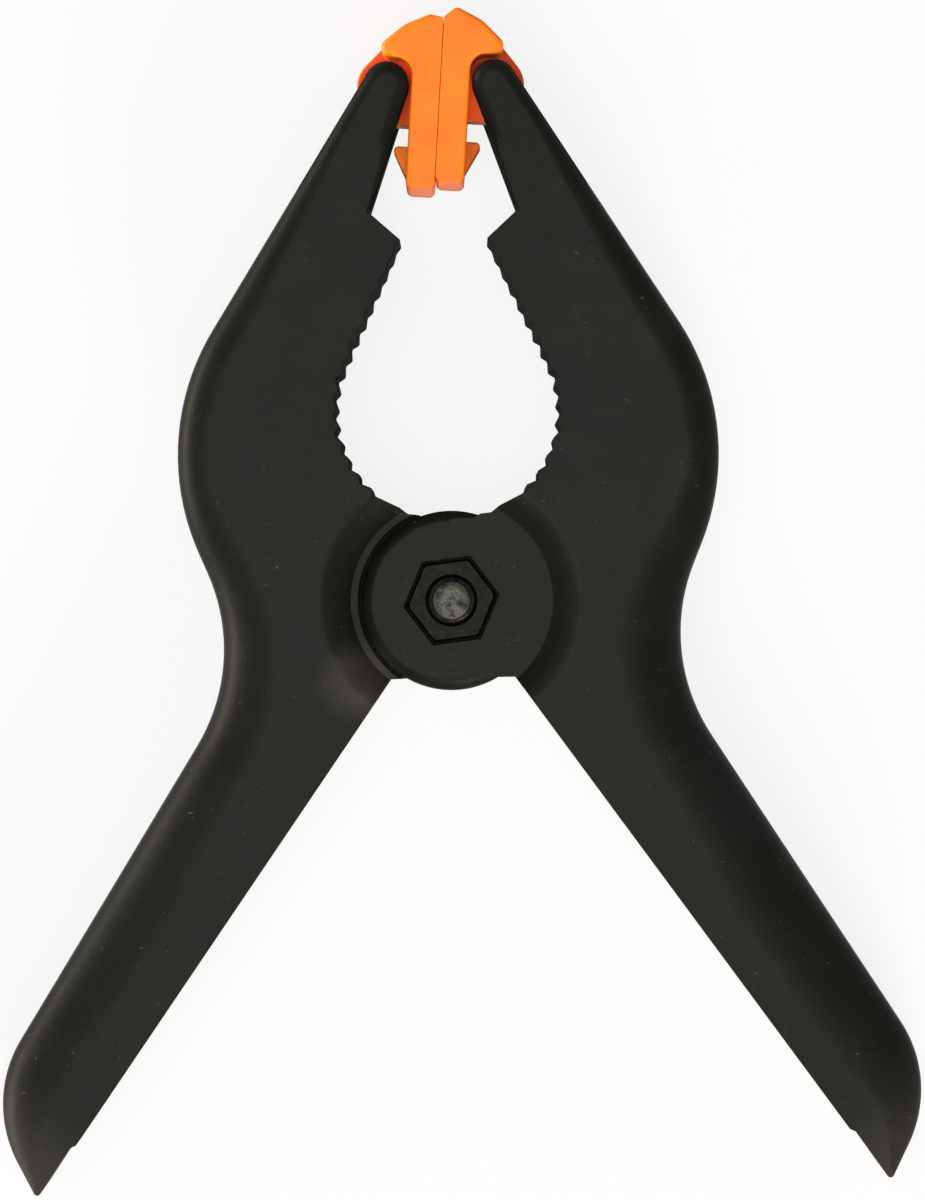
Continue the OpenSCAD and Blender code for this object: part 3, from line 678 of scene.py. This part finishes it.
def hex_piece(name, z_flat, z_end):
    """A hexagonal piece whose rim is bevelled and whose corners are turned off at z_end."""
    up = 1 if z_end > z_flat else -1
    corner_r = HEX_AF / 2 / math.cos(math.pi / 6) + CONE_OUT
    cone = [(corner_r, z_flat), (corner_r, z_end - up * CONE_DEPTH), (HEX_AF / 2 + CONE_END_OUT, z_end)]
    levels = ((z_flat, 1), (z_end - up * RIM_DEPTH, 1), (z_end, RIM_SCALE))
    piece = piece_from(name, prism(hexagon(HEX_AF), levels))
    carve(piece, [piece_from("cone", turned(cone, steps=96))], "INTERSECT")
    return piece


bolt = piece_from("steel_bolt", turned(
    [(BOLT_R, HEAD_UNDER - HEAD_T / 2), *((r, BOLT_TOP - down) for r, down in BOLT_END)], steps=72))
carve(bolt, [hex_piece("head", HEAD_UNDER, HEAD_UNDER - HEAD_T)], "UNION")
smooth(bolt, 30)
steel = Finish("bright_steel", Metallic=1.0)
lathe = steel.grain(0.8, detail=3.0, stretch=(1, 1, 9))
spots = steel.grain(1.3, detail=3.0, offset=(4, 4, 4))
bright = steel.mix(spots.between(0.45, 0.72), STEEL_PALE, STEEL_DARK)
coat(bolt, steel.wear(Base_Color=bright, Roughness=0.34 + 0.25 * spots + 0.08 * lathe,
                      Normal=steel.bump(lathe, 0.02, steel.bump(spots, 0.14))))
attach(bolt, "left")
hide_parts("pivot_bolt")

# The nut is dull dark steel with a plain bore, opened out in front by a shallow cone. It stays in the right
# lever's hexagonal pocket.
BORE_MOUTH_DEPTH, BORE_MOUTH_OUT, BORE_MOUTH_LIP = 0.55, 0.32, 0.02
NUT_DARK, NUT_GREY = tint(0.005, 0.0055, 0.0045), tint(0.010, 0.010, 0.008)
nut_top, mouth_r = NUT_UNDER + NUT_T, BORE_R + BORE_MOUTH_OUT
nut = hex_piece("steel_nut", NUT_UNDER, nut_top)
carve(nut, [piece_from("cutter", turned([
    (BORE_R, NUT_UNDER - OVER), (BORE_R, nut_top - BORE_MOUTH_DEPTH),
    (mouth_r, nut_top + BORE_MOUTH_LIP), (mouth_r, nut_top + OVER)], steps=72))])
smooth(nut, 30)
dull = Finish("dark_steel", Metallic=1.0)
film = dull.grain(0.9, detail=4.0, offset=(6, 1, 3))
pits = dull.grain(3.0, detail=2.0, offset=(2, 5, 3))
shade = dull.mix(film.between(0.38, 0.70), NUT_DARK, NUT_GREY)
coat(nut, dull.wear(Base_Color=shade, Roughness=0.34 + 0.22 * film + 0.06 * pits,
                    Normal=dull.bump(pits, 0.015, dull.bump(film, 0.05))))
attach(nut, "right")
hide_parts("pivot_nut")

# The torsion spring is hard-drawn steel wire, wound round the bolt between the ears, with one leg in each
# handle. Its upper leg presses on the right lever and its lower one on the left.
WIRE_R, COIL_R, COIL_PITCH, COIL_TURNS, LEG_LEN, LEG_SPLAY = 1.0, 7.0, 2.5, 3, 38.0, 10.0
COIL_RINGS, LEG_RINGS, WIRE_SIDES, WIRE_END_SHARE = 120, 24, 20, 0.86
WIRE_GREY, WIRE_PALE = tint(0.42, 0.41, 0.38), tint(0.56, 0.55, 0.52)
leg_dir = math.radians(HANDLE_LEAN - 90 + LEG_SPLAY)
sweep = 2 * math.pi * COIL_TURNS + math.pi - 2 * (leg_dir + math.pi / 2)
rise = sweep / (2 * math.pi) * COIL_PITCH
coil = []
for k in range(COIL_RINGS + 1):
    a = math.pi / 2 - leg_dir - sweep * k / COIL_RINGS
    level = DEPTH / 2 + rise * (k / COIL_RINGS - 0.5)
    coil.append(Vector((COIL_R * math.cos(a), COIL_R * math.sin(a), level)))
leg = Vector((math.cos(leg_dir), math.sin(leg_dir), 0))
left_leg = Vector((-leg.x, leg.y, 0))
route = [coil[0] + left_leg * LEG_LEN * (1 - k / LEG_RINGS) for k in range(LEG_RINGS)] + coil
route += [coil[-1] + leg * LEG_LEN * (k + 1) / LEG_RINGS for k in range(LEG_RINGS)]


def wire_tube(bm):
    """The wire along its route, with both ends a little narrowed."""
    angles = [2 * math.pi * k / WIRE_SIDES for k in range(WIRE_SIDES)]
    rings = []
    for i, p in enumerate(route):
        ahead = (route[min(i + 1, len(route) - 1)] - route[max(i - 1, 0)]).normalized()
        side = ahead.cross(Vector((0, 0, 1))).normalized()
        up = side.cross(ahead)
        r = WIRE_R * (WIRE_END_SHARE if i in (0, len(route) - 1) else 1)
        rings.append([bm.verts.new(p + (side * math.cos(a) + up * math.sin(a)) * r) for a in angles])
    close_up(bm, rings)


spring = piece_from("wire_spring", wire_tube)
smooth(spring, 40)
drawn = Finish("spring_steel", Metallic=1.0)
oil = drawn.grain(0.35, detail=3.0, offset=(8, 3, 3))
lines = drawn.grain(2.5, detail=2.0, offset=(3, 9, 3))
coat(spring, drawn.wear(Base_Color=drawn.mix(oil.between(0.35, 0.7), WIRE_GREY, WIRE_PALE),
                        Roughness=0.26 + 0.2 * oil, Normal=drawn.bump(lines, 0.01)))
(DEPTH - rise) / 2000 + 0.0005
(DEPTH + rise) / 2000 - 0.0005
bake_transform(spring)
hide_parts("torsion_spring")

# A plain pale floor under the clamp. Seen by the camera it is nearly white, and white further out, and it
# keeps the clamp's soft shadow near it. Distances here are in metres.
FLOOR_HALF, NEAR, FAR, NEAR_WHITE = 3.0, 0.14, 0.45, 0.86
FLOOR_GREY, PURE_WHITE = tint(0.70, 0.70, 0.70), tint(1, 1, 1)
floor_corners = [(x, y, 0) for x, y in box_corners(-FLOOR_HALF, -FLOOR_HALF, FLOOR_HALF, FLOOR_HALF)]
floor_mesh = bpy.data.meshes.new("floor")
floor_mesh.from_pydata(floor_corners, [], [(0, 1, 2, 3)])
floor = bpy.data.objects.new("floor", floor_mesh)
bpy.context.scene.collection.objects.link(floor)
paper = Finish("pale_floor", Roughness=0.9, Specular_IOR_Level=0.1, Base_Color=FLOOR_GREY)
across, along, _ = paper.split(paper.place())
far = ((across * across + along * along) ** 0.5).between(NEAR, FAR)
glow = paper.node("Emission", {}, {"Strength": 1.0})
seen_white = paper.seen_straight() * (NEAR_WHITE + (1 - NEAR_WHITE) * far)
paper_light = Wire(paper.node, paper.shader.outputs[0])
paper.show("Material Output", paper.node("MixShader", {}, {0: seen_white, 1: paper_light, 2: glow}))
coat(floor, paper.material)

# Soft studio light: a broad lamp high over the clamp, a weaker one in front of the handles' ends, and a dim
# sky. A warm strip low on the left grazes the flat sides and catches only the rounded backs. Each row has
# its place, what it aims at and its size in metres, and its power in watts.
WHITE, WARM = (1.0, 0.995, 0.94), (1.0, 0.87, 0.76)
SKY_LIGHT = 0.22
for name, place, aim, size, power, colour in (
        ("high lamp", (-0.12, -0.10, 1.42), (0, 0, 0), (0.5, 0.5), 12.6, WHITE),
        ("left strip", (-0.90, 0.10, 0.034), (0, 0, 0.02), (0.9, 0.03), 17.0, WARM),
        ("low lamp", (0.20, -0.85, 0.60), (0, 0, 0.015), (0.4, 0.4), 11.0, WARM)):
    lamp = bpy.data.lights.new(name, "AREA")
    lamp.shape, lamp.size, lamp.size_y, lamp.energy, lamp.color = "RECTANGLE", *size, power, colour
    holder = bpy.data.objects.new(name, lamp)
    holder.location = place
    holder.rotation_euler = (Vector(aim) - Vector(place)).to_track_quat("-Z", "Y").to_euler()
    holder.visible_camera = False
    bpy.context.scene.collection.objects.link(holder)

world = bpy.data.worlds.new("sky")
world.use_nodes = True
bpy.context.scene.world = world
sky = Nodes(world.node_tree)
dim = sky.node("Background", {}, {"Color": PURE_WHITE, "Strength": SKY_LIGHT})
white = sky.node("Background", {}, {"Color": PURE_WHITE, "Strength": 1.0})
sky.show("World Output", sky.node("MixShader", {}, {0: sky.seen_straight(), 1: dim, 2: white}))

# The camera looks straight down on the side face from a little over a metre, turned as the photograph is.
# The frame's height is what it shows there, in millimetres.
FRAME_HEIGHT, CAMERA_OVER_FACE, SENSOR = 153.45, 1200.0, 36.0
CAMERA_X, CAMERA_Y, CAMERA_TURN = 1.42, 0.03, -1.23
CLIP_NEAR, CLIP_FAR = 50.0, 20000.0
camera_data = bpy.data.cameras.new("camera")
camera_data.sensor_width = SENSOR
camera_data.lens = SENSOR * CAMERA_OVER_FACE / FRAME_HEIGHT
camera_data.clip_start, camera_data.clip_end = CLIP_NEAR * MM, CLIP_FAR * MM
camera = bpy.data.objects.new("camera", camera_data)
camera.location = (CAMERA_X * MM, CAMERA_Y * MM, (DEPTH + CAMERA_OVER_FACE) * MM)
camera.rotation_euler = (0, 0, math.radians(CAMERA_TURN))
bpy.context.scene.collection.objects.link(camera)
bpy.context.scene.camera = camera
bpy.context.scene.view_settings.view_transform = "Standard"
